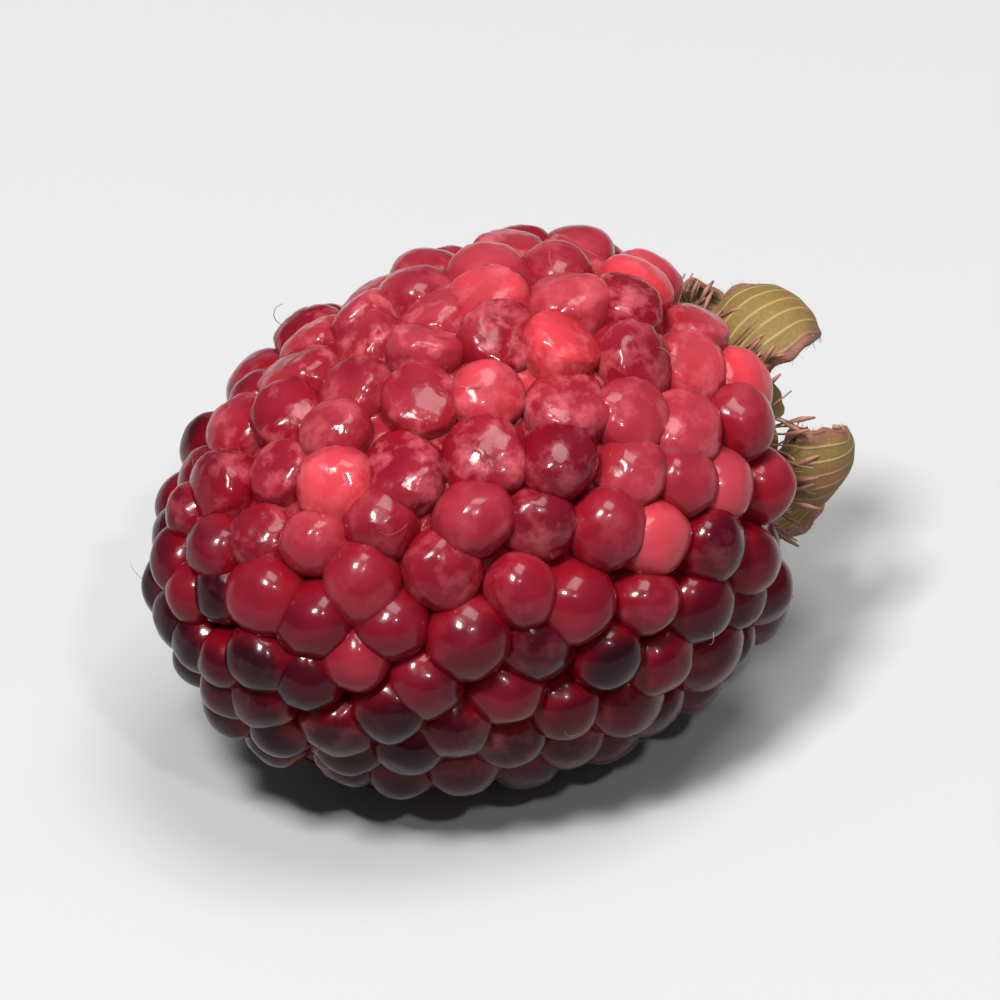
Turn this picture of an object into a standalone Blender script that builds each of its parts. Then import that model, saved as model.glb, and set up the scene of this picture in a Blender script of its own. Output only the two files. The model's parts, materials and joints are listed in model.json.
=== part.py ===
"""A bramble berry with its calyx, lying on its side: tip towards -X, calyx towards +X.

Metres, +Z up. The origin is on the surface that the berry lies on, below the middle of its box.
Every piece is modelled along its own growing axis, +Z from tip to stalk, and hangs on the empty
berry_axis, which lays that axis down along +X.
"""
import math
import random

import bmesh
import bpy
from mathutils import Matrix, Vector

# Driving dimensions of the fruit.
FRUIT_LENGTH = 0.0282
FRUIT_DIAMETER = 0.0222
EGG = 0.13                        # how much thicker the calyx half is than the tip half
BLUNTNESS = 0.86                  # below 1 the ends are blunter than an ellipsoid's
DRUPELET_PITCH = 0.0032
DRUPELET_RADIUS = 0.53 * DRUPELET_PITCH
DRUPELET_SIDES = 6
DRUPELET_RINGS = 4
PLACE_JITTER = 0.045              # each drupelet sits up to this many radians off the spiral
SIZE_JITTER = (0.90, 1.10)
LIFT_JITTER = 0.00025
TIP_SHRINK = 0.20                 # the drupelets at the very tip are this much smaller
DRUPELETS_END = math.radians(140)  # where the last row of drupelets stops, short of the calyx
CORE_DEPTH = 0.0013               # from the tops of the drupelets down to the flesh between them
PRESSED_FLAT = 0.00068            # how far the drupelets it lies on are pressed in
FRUIT_TURN = math.radians(14.5)   # rolled so that it lies on a ring of nine drupelets, not on one
GAP = 0.0003                      # clearance between a piece and its neighbour
SEED = 11

# Driving dimensions of the calyx, as distances along the growing axis from the fruit's middle.
SEAT_AT = 0.0106                  # the fruit's flat end, where the calyx is joined
NECK_RADIUS = 0.0026
RIM_RADIUS = 0.0040
RIM_AT = 0.0118
CUP_THICKNESS = 0.0014
STALK_RADIUS = 0.0011
STALK_LENGTH = 0.0015
SEPAL_THICKNESS = 0.0005
STAMEN_COUNT = 30
STAMEN_LENGTH = 0.0020
STAMEN_RADIUS = 0.00014
STAMEN_LEAN = math.radians(76)    # from the growing axis outwards
STAMEN_RING_RADIUS = 0.0038
STAMEN_RING_TUBE = 0.0003

# How far the fruit's own middle is from the middle of the whole box, towards the tip.
BOX_MIDDLE = 0.001355

GOLDEN_ANGLE = math.radians(137.50776)

# Each sepal: direction round the axis, length, width, first and last lean of its midrib
# (0 is straight out, 90 is straight back along the stalk) and how far its edges cup, in degrees.
SEPALS = {
    "sepal_1": dict(around=192, length=0.0072, width=0.0048, lean=(20, 215), cup=38),
    "sepal_2": dict(around=272, length=0.0060, width=0.0044, lean=(22, 195), cup=44),
    "sepal_3": dict(around=340, length=0.0054, width=0.0042, lean=(26, 150), cup=36),
    "sepal_4": dict(around=48, length=0.0058, width=0.0044, lean=(18, 150), cup=32),
    "sepal_5": dict(around=114, length=0.0050, width=0.0042, lean=(14, 165), cup=36),
}


def empty_the_file():
    for item in list(bpy.data.objects):
        bpy.data.objects.remove(item)


def new_collection(name):
    collection = bpy.data.collections.new(name)
    bpy.context.scene.collection.children.link(collection)
    return collection


def skin(name, color, roughness):
    material = bpy.data.materials.new(name)
    material.use_nodes = True
    shader = material.node_tree.nodes["Principled BSDF"]
    shader.inputs["Base Color"].default_value = (*color, 1.0)
    shader.inputs["Roughness"].default_value = roughness
    shader.inputs["Metallic"].default_value = 0.0
    material.diffuse_color = (*color, 1.0)
    return material


def add_mesh(name, bm, collection, parent, material=None):
    """Make the bmesh an object that hangs on parent."""
    mesh = bpy.data.meshes.new(name)
    bm.to_mesh(mesh)
    bm.free()
    mesh.shade_smooth()
    item = bpy.data.objects.new(name, mesh)
    if material:
        mesh.materials.append(material)
    item.parent = parent
    collection.objects.link(item)
    return item


def outline(angle):
    """Distance along the axis and from it of the fruit's outer surface, from 0 at the tip to pi."""
    along = -0.5 * FRUIT_LENGTH * math.cos(angle)
    radius = 0.5 * FRUIT_DIAMETER * math.sin(angle) ** BLUNTNESS * (1 - EGG * math.cos(angle))
    return along, radius


def outline_normal(angle):
    """The outward normal of the outline, as parts away from the axis and along it."""
    step = 1e-3
    along_a, radius_a = outline(max(angle - step, 1e-5))
    along_b, radius_b = outline(angle + step)
    normal = Vector((along_b - along_a, radius_a - radius_b))
    return normal.normalized()


def drupelet_places():
    """Angle along the outline, turn round the axis and pitch of each drupelet, on one spiral."""
    places = []
    steps = 4000
    covered = 0.0
    along_a, radius_a = outline(1e-6)
    for step in range(1, steps + 1):
        angle = DRUPELETS_END * step / steps
        along_b, radius_b = outline(angle)
        pitch = DRUPELET_PITCH * (1 - TIP_SHRINK * max(0.0, 1 - angle / 1.1))
        band = math.pi * (radius_a + radius_b) * math.hypot(along_b - along_a, radius_b - radius_a)
        covered += band / (math.sqrt(0.75) * pitch ** 2)
        while covered > len(places) + 0.5:
            places.append((angle, len(places) * GOLDEN_ANGLE, pitch / DRUPELET_PITCH))
        along_a, radius_a = along_b, radius_b
    return places


def add_drupelet_forms(forms, axis):
    """One ball for each drupelet, sunk so that it bulges out of the fruit's outline."""
    bm = bmesh.new()
    bmesh.ops.create_uvsphere(bm, u_segments=DRUPELET_SIDES, v_segments=DRUPELET_RINGS, radius=1.0)
    ball = bpy.data.meshes.new("drupelet_form")
    bm.to_mesh(ball)
    bm.free()
    chance = random.Random(SEED)
    for number, (angle, turn, size) in enumerate(drupelet_places()):
        angle += chance.uniform(-PLACE_JITTER, PLACE_JITTER)
        turn += FRUIT_TURN + chance.uniform(-PLACE_JITTER, PLACE_JITTER) / max(math.sin(angle), 0.3)
        radius = DRUPELET_RADIUS * size * chance.uniform(*SIZE_JITTER)
        lift = chance.uniform(-LIFT_JITTER, LIFT_JITTER)
        along, away = outline(max(angle, 0.02))
        normal = outline_normal(max(angle, 0.02))
        away += normal.x * (lift - radius)
        along += normal.y * (lift - radius)
        lean = math.atan2(normal.x, normal.y)
        pose = Matrix.Rotation(turn, 3, "Z") @ Matrix.Rotation(lean, 3, "Y")
        pose @= Matrix.Rotation(chance.uniform(0, math.tau), 3, "Z")
        form = bpy.data.objects.new(f"drupelet_form_{number:03d}", ball)
        form.location = (away * math.cos(turn), away * math.sin(turn), along)
        form.rotation_euler = pose.to_euler()
        form.scale = (radius, radius, radius)
        form.parent = axis
        form.hide_render = True
        form.display_type = "WIRE"
        forms.objects.link(form)
    return len(forms.objects)


def add_fruit(part, guides, forms, axis):
    """The flesh and every drupelet on it, grown together as one solid."""
    bm = bmesh.new()
    bmesh.ops.create_uvsphere(bm, u_segments=20, v_segments=14, radius=1.0)
    for vert in bm.verts:
        angle = math.acos(max(-1.0, min(1.0, -vert.co.z)))
        along, away = outline(min(max(angle, 1e-4), math.pi - 1e-4))
        side = Vector((vert.co.x, vert.co.y))
        if side.length > 1e-6:
            side.normalize()
        away *= 1 - CORE_DEPTH / (0.5 * FRUIT_DIAMETER)
        along *= 1 - CORE_DEPTH / (0.5 * FRUIT_LENGTH)
        vert.co = (side.x * away, side.y * away, along)
    cut = bmesh.ops.bisect_plane(bm, geom=bm.verts[:] + bm.edges[:] + bm.faces[:], dist=1e-6,
                                 plane_co=(0, 0, SEAT_AT), plane_no=(0, 0, 1), clear_outer=True)
    rim = [item for item in cut["geom_cut"] if isinstance(item, bmesh.types.BMEdge)]
    bmesh.ops.contextual_create(bm, geom=rim)
    bmesh.ops.recalc_face_normals(bm, faces=bm.faces)
    fruit = add_mesh("fruit_body", bm, part, axis, skin("fruit_skin", (0.20, 0.012, 0.022), 0.25))

    grow = fruit.modifiers.new("grow_drupelets", "BOOLEAN")
    grow.operation = "UNION"
    grow.solver = "EXACT"
    grow.operand_type = "COLLECTION"
    grow.collection = forms

    press = fruit.modifiers.new("press_flat", "BOOLEAN")
    press.operation = "DIFFERENCE"
    press.solver = "EXACT"
    press.object = add_surface_block(guides)
    return fruit


def add_surface_block(guides):
    """The block of table below z = 0 that the lowest drupelets are pressed flat against."""
    bm = bmesh.new()
    bmesh.ops.create_cube(bm, size=1.0)
    width = 2 * FRUIT_LENGTH
    bmesh.ops.scale(bm, vec=(width, width, width), verts=bm.verts)
    bmesh.ops.translate(bm, vec=(0, 0, -0.5 * width), verts=bm.verts)
    block = add_mesh("surface_block", bm, guides, None)
    block.hide_render = True
    block.display_type = "WIRE"
    return block


def add_turned(name, profile, part, axis, material, segments=20):
    """A closed body of revolution from its profile of (away, along) points, tip end first."""
    bm = bmesh.new()
    points = [bm.verts.new((away, 0, along)) for away, along in profile]
    edges = [bm.edges.new(pair) for pair in zip(points, points[1:])]
    bmesh.ops.spin(bm, geom=points + edges, cent=(0, 0, 0), axis=(0, 0, 1), dvec=(0, 0, 0),
                   angle=math.tau, steps=segments, use_merge=True, use_duplicate=False)
    bmesh.ops.remove_doubles(bm, verts=bm.verts, dist=1e-6)
    bmesh.ops.recalc_face_normals(bm, faces=bm.faces)
    item = add_mesh(name, bm, part, axis, material)
    item.data.set_sharp_from_angle(angle=math.radians(40))
    return item


def add_calyx_cup(part, axis):
    """The shallow green cup that joins the fruit, the sepals and the stalk."""
    back = RIM_AT + CUP_THICKNESS
    profile = [
        (0.0, SEAT_AT + GAP),
        (NECK_RADIUS, SEAT_AT + GAP),
        (NECK_RADIUS, RIM_AT - 0.25 * CUP_THICKNESS),
        (RIM_RADIUS, RIM_AT),
        (RIM_RADIUS, RIM_AT + SEPAL_THICKNESS),
        (0.75 * RIM_RADIUS, back - 0.2 * CUP_THICKNESS),
        (STALK_RADIUS, back),
        (0.0, back),
    ]
    return add_turned("calyx_cup", profile, part, axis, skin("calyx_green", (0.33, 0.34, 0.11), 0.7))


def add_stalk_stub(part, axis):
    """The short end of stalk left when the berry was picked, snapped a little unevenly."""
    start = RIM_AT + CUP_THICKNESS + GAP
    end = start + STALK_LENGTH
    profile = [
        (0.0, start),
        (STALK_RADIUS, start),
        (0.82 * STALK_RADIUS, start + 0.4 * STALK_LENGTH),
        (0.86 * STALK_RADIUS, end - 0.12 * STALK_LENGTH),
        (0.60 * STALK_RADIUS, end),
        (0.0, end - 0.08 * STALK_LENGTH),
    ]
    return add_turned("stalk_stub", profile, part, axis, skin("stalk_green", (0.36, 0.30, 0.12), 0.75), 12)


def sepal_midrib(sepal, share):
    """Distance from the axis, distance along it and lean of the midrib at a share of its length."""
    first, last = (math.radians(lean) for lean in sepal["lean"])
    turning = last - first
    lean = first + turning * share
    away = RIM_RADIUS + GAP + sepal["length"] * (math.sin(lean) - math.sin(first)) / turning
    along = RIM_AT + 0.5 * SEPAL_THICKNESS + sepal["length"] * (math.cos(first) - math.cos(lean)) / turning
    return away, along, lean


def sepal_half_width(sepal, share):
    """Half the blade's width: a broad foot, widest at a third, and a drawn-out tip."""
    belly = math.sin(math.pi * (0.20 + 0.80 * share) ** 0.85) ** 0.9
    return 0.5 * sepal["width"] * max(belly, 0.10)


def add_sepal(name, sepal, part, axis, material):
    """A cupped blade that leans out from the cup's rim and curls back beside the stalk."""
    rows = 10
    columns = 6
    bm = bmesh.new()
    bmesh.ops.create_grid(bm, x_segments=columns, y_segments=rows, size=1.0)
    for vert in bm.verts:
        share = 0.5 + 0.5 * vert.co.y
        side = vert.co.x
        away, along, lean = sepal_midrib(sepal, share)
        half = sepal_half_width(sepal, share)
        cupped = side * math.radians(sepal["cup"])
        across = half * math.sin(cupped) / math.radians(sepal["cup"])
        rise = half * (1 - math.cos(cupped)) / math.radians(sepal["cup"])
        away -= rise * math.sin(lean)
        along += rise * math.cos(lean)
        vert.co = (away, across, along)
    bmesh.ops.rotate(bm, verts=bm.verts, cent=(0, 0, 0),
                     matrix=Matrix.Rotation(math.radians(sepal["around"]), 3, "Z"))
    bmesh.ops.recalc_face_normals(bm, faces=bm.faces)
    item = add_mesh(name, bm, part, axis, material)
    wall = item.modifiers.new("blade", "SOLIDIFY")
    wall.thickness = SEPAL_THICKNESS
    wall.offset = 0.0
    return item


def add_stamen_ring(part, guides, axis):
    """The ring of dried stamens that lies between the last drupelets and the sepals."""
    ring_at = SEAT_AT + 2.2 * STAMEN_RING_TUBE
    bpy.ops.mesh.primitive_torus_add(major_radius=STAMEN_RING_RADIUS, minor_radius=STAMEN_RING_TUBE,
                                     major_segments=24, minor_segments=6, location=(0, 0, ring_at))
    ring = bpy.context.object
    ring.name = "stamen_ring"
    for collection in list(ring.users_collection):
        collection.objects.unlink(ring)
    part.objects.link(ring)
    ring.parent = axis
    ring.data.materials.append(skin("stamen_brown", (0.28, 0.14, 0.08), 0.8))
    ring.data.shade_smooth()

    threads = bpy.data.collections.new("stamen_threads")
    guides.children.link(threads)
    chance = random.Random(SEED + 1)
    for number in range(STAMEN_COUNT):
        turn = math.tau * (number + chance.uniform(-0.25, 0.25)) / STAMEN_COUNT
        length = STAMEN_LENGTH * chance.uniform(0.75, 1.1)
        bm = bmesh.new()
        bmesh.ops.create_cone(bm, cap_ends=True, cap_tris=True, segments=4, radius1=STAMEN_RADIUS,
                              radius2=0.65 * STAMEN_RADIUS, depth=length)
        place = (Matrix.Rotation(turn, 4, "Z")
                 @ Matrix.Translation((STAMEN_RING_RADIUS, 0, ring_at))
                 @ Matrix.Rotation(STAMEN_LEAN, 4, "Y") @ Matrix.Translation((0, 0, 0.5 * length)))
        bmesh.ops.transform(bm, matrix=place, verts=bm.verts)
        thread = add_mesh(f"stamen_thread_{number:02d}", bm, threads, axis)
        thread.hide_render = True
        thread.display_type = "WIRE"
    join = ring.modifiers.new("join_threads", "BOOLEAN")
    join.operation = "UNION"
    join.solver = "EXACT"
    join.operand_type = "COLLECTION"
    join.collection = threads
    return ring


def main():
    empty_the_file()
    part = new_collection("bramble_berry")
    guides = new_collection("guides")
    forms = bpy.data.collections.new("drupelet_forms")
    guides.children.link(forms)

    axis = bpy.data.objects.new("berry_axis", None)
    axis.location = (-BOX_MIDDLE, 0, 0.5 * FRUIT_DIAMETER - PRESSED_FLAT)
    axis.rotation_euler = (0, math.radians(90), 0)
    part.objects.link(axis)

    count = add_drupelet_forms(forms, axis)
    print("drupelets:", count)
    add_fruit(part, guides, forms, axis)
    add_calyx_cup(part, axis)
    add_stalk_stub(part, axis)
    add_stamen_ring(part, guides, axis)
    sepal_skin = skin("sepal_green", (0.38, 0.30, 0.13), 0.7)
    for name, sepal in SEPALS.items():
        add_sepal(name, sepal, part, axis, sepal_skin)
    bpy.context.view_layer.update()


main()
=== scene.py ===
# %% [markdown]
# # A bramble berry with its calyx
# The model is one ripe bramble berry as it was picked: a head of small juicy drupelets, the green
# cup and five sepals behind it, a fringe of dried stamens and a short end of stalk. It lies on its
# side. A fixed frame with the solids at their real size is loaded first, and every piece made here
# takes its place from that frame.

# %% Load the frame
import json
import math
import random

import bmesh
import bpy
import numpy as np
from mathutils import Matrix, Vector, noise

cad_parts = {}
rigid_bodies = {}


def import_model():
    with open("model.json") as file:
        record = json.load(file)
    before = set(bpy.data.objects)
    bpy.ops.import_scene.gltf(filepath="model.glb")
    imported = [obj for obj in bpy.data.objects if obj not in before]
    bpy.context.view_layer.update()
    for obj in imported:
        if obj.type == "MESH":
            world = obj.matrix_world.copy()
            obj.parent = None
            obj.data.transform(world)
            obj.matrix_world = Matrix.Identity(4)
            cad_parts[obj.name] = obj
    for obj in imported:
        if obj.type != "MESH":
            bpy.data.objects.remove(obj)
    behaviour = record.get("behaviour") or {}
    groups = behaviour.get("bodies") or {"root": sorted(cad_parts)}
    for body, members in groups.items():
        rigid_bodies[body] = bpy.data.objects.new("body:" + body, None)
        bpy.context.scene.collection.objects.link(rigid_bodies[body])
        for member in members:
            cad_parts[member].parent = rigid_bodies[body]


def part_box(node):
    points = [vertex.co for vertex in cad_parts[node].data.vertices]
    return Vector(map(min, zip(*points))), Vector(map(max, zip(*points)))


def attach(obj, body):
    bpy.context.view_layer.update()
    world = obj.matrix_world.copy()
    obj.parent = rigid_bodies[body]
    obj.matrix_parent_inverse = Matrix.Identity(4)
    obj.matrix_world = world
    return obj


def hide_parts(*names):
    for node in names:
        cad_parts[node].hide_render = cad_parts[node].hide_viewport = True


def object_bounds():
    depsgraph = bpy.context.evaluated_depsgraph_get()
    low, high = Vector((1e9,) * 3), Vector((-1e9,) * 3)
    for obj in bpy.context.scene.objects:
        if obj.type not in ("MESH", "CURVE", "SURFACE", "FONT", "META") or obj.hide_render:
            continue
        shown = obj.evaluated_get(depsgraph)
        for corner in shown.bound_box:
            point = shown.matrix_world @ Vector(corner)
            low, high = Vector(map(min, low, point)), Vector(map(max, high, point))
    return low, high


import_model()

cad_low, cad_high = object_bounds()
print("the solids measure", [round(1000 * side, 1) for side in cad_high - cad_low], "mm")

# %% [markdown]
# ## Where the berry lies
# A berry grows along one axis, from its tip to its stalk. It is easiest to model upright, with that
# axis along Z, and then to lay the finished mesh down. The calyx cup is a turned piece, so the
# middle of its box is on the axis, and its front face tells how far along it the fruit's middle is.

# %% The growing axis
GAP = 0.0003              # between the solids of parts that grow together
SEAT_AT = 0.0106          # from the fruit's middle to its flat end, where the calyx is joined
cup_low, cup_high = (Vector(corner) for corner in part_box("calyx_cup"))
fruit_middle = 0.5 * (cup_low + cup_high)
fruit_middle.x = cup_low.x - SEAT_AT - GAP
laid_down = Matrix.Translation(fruit_middle) @ Matrix.Rotation(math.radians(90), 4, "Y")
surface_z = cad_low.z
print("axis", [round(1000 * place, 2) for place in fruit_middle], "mm")

# %% [markdown]
# ## Camera, floor and light
# The berry is seen from well above its side, with the tip towards the viewer's left and the calyx
# turned to the right and away. A long lens keeps a small thing from looking bent. A studio look
# comes from a pale floor and a white room with three soft boxes: a strong one above the tip, a
# small one nearer the camera for the sharp glints on the wet skin, and a broad one overhead that
# opens the shadows.

# %% Camera
CAMERA_AZIMUTH = math.radians(-35)
CAMERA_ELEVATION = math.radians(36)
CAMERA_DISTANCE = 0.42
LENS = 375
SENSOR_WIDTH = 36
aim = 0.5 * (cad_low + cad_high)
toward_camera = Vector((
    math.sin(CAMERA_AZIMUTH) * math.cos(CAMERA_ELEVATION),
    -math.cos(CAMERA_AZIMUTH) * math.cos(CAMERA_ELEVATION),
    math.sin(CAMERA_ELEVATION),
))


def add_object(name, data, collection=None):
    item = bpy.data.objects.new(name, data)
    (collection or bpy.context.scene.collection).objects.link(item)
    return item


lens = bpy.data.cameras.new("camera")
lens.lens = LENS
lens.sensor_width = SENSOR_WIDTH
lens.clip_start = 0.01
lens.clip_end = 20
camera = add_object("camera", lens)
camera.location = aim + CAMERA_DISTANCE * toward_camera
camera.rotation_euler = toward_camera.to_track_quat("Z", "Y").to_euler()
bpy.context.scene.camera = camera
print("camera looks from", [round(place, 3) for place in camera.location])

# %% Floor and room
FLOOR_WIDTH = 6.0
PAPER_GREY = 0.32         # the lights are strong enough to show it nearly white
ROOM_LIGHT = 0.16


def finished_mesh(bm, name):
    """A mesh with the bmesh's shape, after which the bmesh is freed."""
    mesh = bpy.data.meshes.new(name)
    bm.to_mesh(mesh)
    bm.free()
    return mesh


bm = bmesh.new()
bmesh.ops.create_grid(bm, x_segments=1, y_segments=1, size=0.5 * FLOOR_WIDTH)
bmesh.ops.translate(bm, verts=bm.verts, vec=(0, 0, surface_z))
floor_mesh = finished_mesh(bm, "floor")
floor = add_object("floor", floor_mesh)
paper = bpy.data.materials.new("white_paper")
paper.use_nodes = True
paper_shader = paper.node_tree.nodes["Principled BSDF"]
paper_shader.inputs["Base Color"].default_value = (PAPER_GREY, PAPER_GREY, PAPER_GREY, 1)
paper_shader.inputs["Roughness"].default_value = 0.75
paper_shader.inputs["Specular IOR Level"].default_value = 0.2
floor_mesh.materials.append(paper)

world = bpy.data.worlds.new("room")
world.use_nodes = True
world.node_tree.nodes["Background"].inputs["Color"].default_value = (1.0, 1.0, 1.0, 1)
world.node_tree.nodes["Background"].inputs["Strength"].default_value = ROOM_LIGHT
bpy.context.scene.world = world
bpy.context.scene.view_settings.view_transform = "Standard"
print("the floor is at", round(1000 * surface_z, 2), "mm")


# %% Soft boxes
def add_soft_box(name, azimuth, elevation, distance, size, power):
    """A square area light that faces the berry from the given direction, in degrees."""
    light = bpy.data.lights.new(name, "AREA")
    light.size = size
    light.energy = power
    around = math.radians(azimuth)
    up = math.radians(elevation)
    direction = Vector((math.sin(around) * math.cos(up), -math.cos(around) * math.cos(up), math.sin(up)))
    lamp = add_object(name, light)
    lamp.location = aim + distance * direction
    lamp.rotation_euler = direction.to_track_quat("Z", "Y").to_euler()
    print(name, "at", round(distance, 2), "m")


add_soft_box("key_box", azimuth=-62, elevation=60, distance=0.9, size=0.17, power=14.0)
add_soft_box("glint_box", azimuth=-15, elevation=50, distance=0.9, size=0.05, power=2.4)
add_soft_box("top_box", azimuth=30, elevation=80, distance=1.1, size=0.5, power=11.0)

# %% [markdown]
# ## The drupelets
# A bramble fruit is a head of drupelets: dozens of tiny round fruits, each with a seed, that grew
# in a spiral over one soft core. They could be modelled one by one, or scattered. One spiral turned
# by the golden angle packs them like the real ones do, each about a pitch away from its neighbours.
# The fruit is blunt at both ends and a little thicker towards the calyx. The spiral stops short of
# the calyx, where a last row of smaller drupelets is squeezed in.

# %% The spiral over the fruit
FRUIT_LENGTH = 0.0282
FRUIT_DIAMETER = 0.0222
EGG = 0.13
BLUNTNESS = 0.86
DRUPELET_PITCH = 0.0032
DRUPELET_RADIUS = 0.53 * DRUPELET_PITCH
TIP_SHRINK = 0.20         # how much smaller the drupelets are at the very tip
TIP_ENDS = 1.1            # angle on the outline, in radians, from which they have their full size
DRUPELETS_END = math.radians(140)
FRUIT_TURN = math.radians(14.5)
GOLDEN_ANGLE = math.radians(137.50776)
PLACE_JITTER = 0.045
SIZE_JITTER = (0.90, 1.10)
LIFT_JITTER = 0.00025
SPIRAL_STEPS = 4000


def outline(angle):
    """Distance along the axis and from it of the fruit's surface, for 0 at the tip to pi."""
    along = -0.5 * FRUIT_LENGTH * math.cos(angle)
    radius = 0.5 * FRUIT_DIAMETER * math.sin(angle) ** BLUNTNESS * (1 - EGG * math.cos(angle))
    return along, radius


def outline_normal(angle):
    """The outward normal of the outline, as parts away from the axis and along it."""
    step = 1e-3
    along_a, radius_a = outline(max(angle - step, 1e-5))
    along_b, radius_b = outline(angle + step)
    return Vector((along_b - along_a, radius_a - radius_b)).normalized()


def drupelet_places():
    """Angle along the outline, turn round the axis and size share of each drupelet."""
    places = []
    covered = 0.0             # how many drupelets the surface so far has room for, packed in hexagons
    along_a, radius_a = outline(1e-6)
    for step in range(1, SPIRAL_STEPS + 1):
        angle = DRUPELETS_END * step / SPIRAL_STEPS
        along_b, radius_b = outline(angle)
        pitch = DRUPELET_PITCH * (1 - TIP_SHRINK * max(0.0, 1 - angle / TIP_ENDS))
        band = math.pi * (radius_a + radius_b) * math.hypot(along_b - along_a, radius_b - radius_a)
        covered += band / (math.sqrt(0.75) * pitch ** 2)
        while covered > len(places) + 0.5:
            places.append((angle, len(places) * GOLDEN_ANGLE, pitch / DRUPELET_PITCH))
        along_a, radius_a = along_b, radius_b
    return places


# %% Plan the drupelets
def drupelet_at(pose, radius, angle):
    """What is known of a drupelet, from its pose on the upright fruit, size and outline angle."""
    place = laid_down @ pose
    return {
        "place": place,
        "centre": place.translation.copy(),
        "out": (place.to_3x3() @ Vector((0, 0, 1))).normalized(),
        "radius": radius,
        "angle": angle,
    }


def plan_spiral():
    """The drupelets of the spiral, each a little off its regular place and size."""
    chance = random.Random(11)
    plan = []
    for angle, turn, size in drupelet_places():
        angle += chance.uniform(-PLACE_JITTER, PLACE_JITTER)
        turn += FRUIT_TURN + chance.uniform(-PLACE_JITTER, PLACE_JITTER) / max(math.sin(angle), 0.3)
        radius = DRUPELET_RADIUS * size * chance.uniform(*SIZE_JITTER)
        lift = chance.uniform(-LIFT_JITTER, LIFT_JITTER)
        along, away = outline(max(angle, 0.02))
        normal = outline_normal(max(angle, 0.02))
        away += normal.x * (lift - radius)
        along += normal.y * (lift - radius)
        pose = Matrix.Rotation(turn, 4, "Z") @ Matrix.Translation((away, 0, along))
        pose @= Matrix.Rotation(math.atan2(normal.x, normal.y), 4, "Y")
        pose @= Matrix.Rotation(chance.uniform(0, math.tau), 4, "Z")
        plan.append(drupelet_at(pose, radius, angle))
    return plan


# %% The last row
LAST_ROW = 15
LAST_ROW_RADIUS = 0.0013
LAST_ROW_AWAY = 0.0054    # from the axis, give or take the spread
LAST_ROW_SPREAD = 0.0004
LAST_ROW_RISE = 0.0002    # past the fruit's flat end
LAST_ROW_SINK = 0.8       # back towards the core, in radii
LAST_ROW_LEAN = math.radians(40)


def plan_last_row():
    """The small drupelets that close the fruit round its calyx."""
    chance = random.Random(13)
    row = []
    for number in range(LAST_ROW):
        turn = math.tau * (number + chance.uniform(-0.2, 0.2)) / LAST_ROW
        radius = LAST_ROW_RADIUS * chance.uniform(0.85, 1.15)
        away = LAST_ROW_AWAY + chance.uniform(-LAST_ROW_SPREAD, LAST_ROW_SPREAD)
        along = SEAT_AT + LAST_ROW_RISE - LAST_ROW_SINK * radius
        pose = Matrix.Rotation(turn, 4, "Z") @ Matrix.Translation((away, 0, along))
        pose @= Matrix.Rotation(LAST_ROW_LEAN, 4, "Y")
        row.append(drupelet_at(pose, radius, DRUPELETS_END))
    return row


plan = plan_spiral() + plan_last_row()
print(len(plan), "drupelets, radius", round(1000 * DRUPELET_RADIUS, 2), "mm")

# %% [markdown]
# ## How ripe and how worn each drupelet is, with painted light and shade
# No two drupelets look the same. This berry is crimson on top and burgundy below and at the tip, with a
# few nearly black and a few still bright red. Part of that is a real spread of ripeness, and part is
# painted light and shade: drupelets facing up are made paler and those facing down darker, and the
# nearly black ones are kept below and the bright red ones on top. On top, where others lay on it in the
# pile, the skins are pressed in and creased. Each drupelet gets two numbers for that, from its place and
# a little seeded chance, and the shape and the colour both use them.

# %% Ripeness with painted light and shade, and wear
RIPE_MIDDLE = 0.74        # on the flank, on a scale from 0 for bright red to 1 for nearly black
# Painted light and shade: how much paler a drupelet is made as it faces up, and how much darker as it
# faces down.
TOP_PALER_PAINTED_LIGHT = 0.55
TIP_RIPER = 0.12
CALYX_PALER = 0.12
CALYX_END = (1.9, 2.4)    # angles on the outline between which the calyx end begins
PATCH_CONTRAST = 0.32
PATCH_SCALE = 140
OWN_RIPENESS = 0.11
# Painted shade and light: nearly black drupelets only go where they face down, and bright red ones only
# where they face up.
RIPEST_SHARE = 0.10
RIPEST = (0.86, 1.0)
RIPEST_BELOW = 0.45       # how far up a drupelet may face, from -1 to 1, to be nearly black
PALEST_SHARE = 0.06
PALEST = (0.08, 0.20)
PALEST_ABOVE = 0.35       # how far up it has to face to be bright red


def soft_step(low, high, value):
    share = min(max((value - low) / (high - low), 0.0), 1.0)
    return share * share * (3 - 2 * share)


def ripen(plan):
    """Give each drupelet its ripeness and its wear."""
    chance = random.Random(23)
    for drupelet in plan:
        up = drupelet["out"].z
        toward_tip = max(-drupelet["out"].x, 0.0)
        by_calyx = soft_step(*CALYX_END, drupelet["angle"])
        patch = noise.noise(drupelet["centre"] * PATCH_SCALE)
        # Paler facing up and darker facing down is painted light and painted shade, laid over the real
        # ripeness.
        ripe_and_painted_light = RIPE_MIDDLE - TOP_PALER_PAINTED_LIGHT * up + TIP_RIPER * toward_tip
        ripe_and_painted_light = ripe_and_painted_light - CALYX_PALER * by_calyx + PATCH_CONTRAST * patch
        ripe_and_painted_light += chance.gauss(0, OWN_RIPENESS)
        pick = chance.random()
        if pick < RIPEST_SHARE and up < RIPEST_BELOW:
            ripe_and_painted_light = chance.uniform(*RIPEST)
        elif pick > 1 - PALEST_SHARE and up > PALEST_ABOVE:
            ripe_and_painted_light = chance.uniform(*PALEST)
        drupelet["ripe_and_painted_light"] = min(max(ripe_and_painted_light, 0.0), 1.0)
        worn = soft_step(0.3, 0.95, up) * chance.uniform(0.2, 0.9) + 0.2 * chance.random() ** 2
        drupelet["worn"] = min(worn, 1.0)


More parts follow.
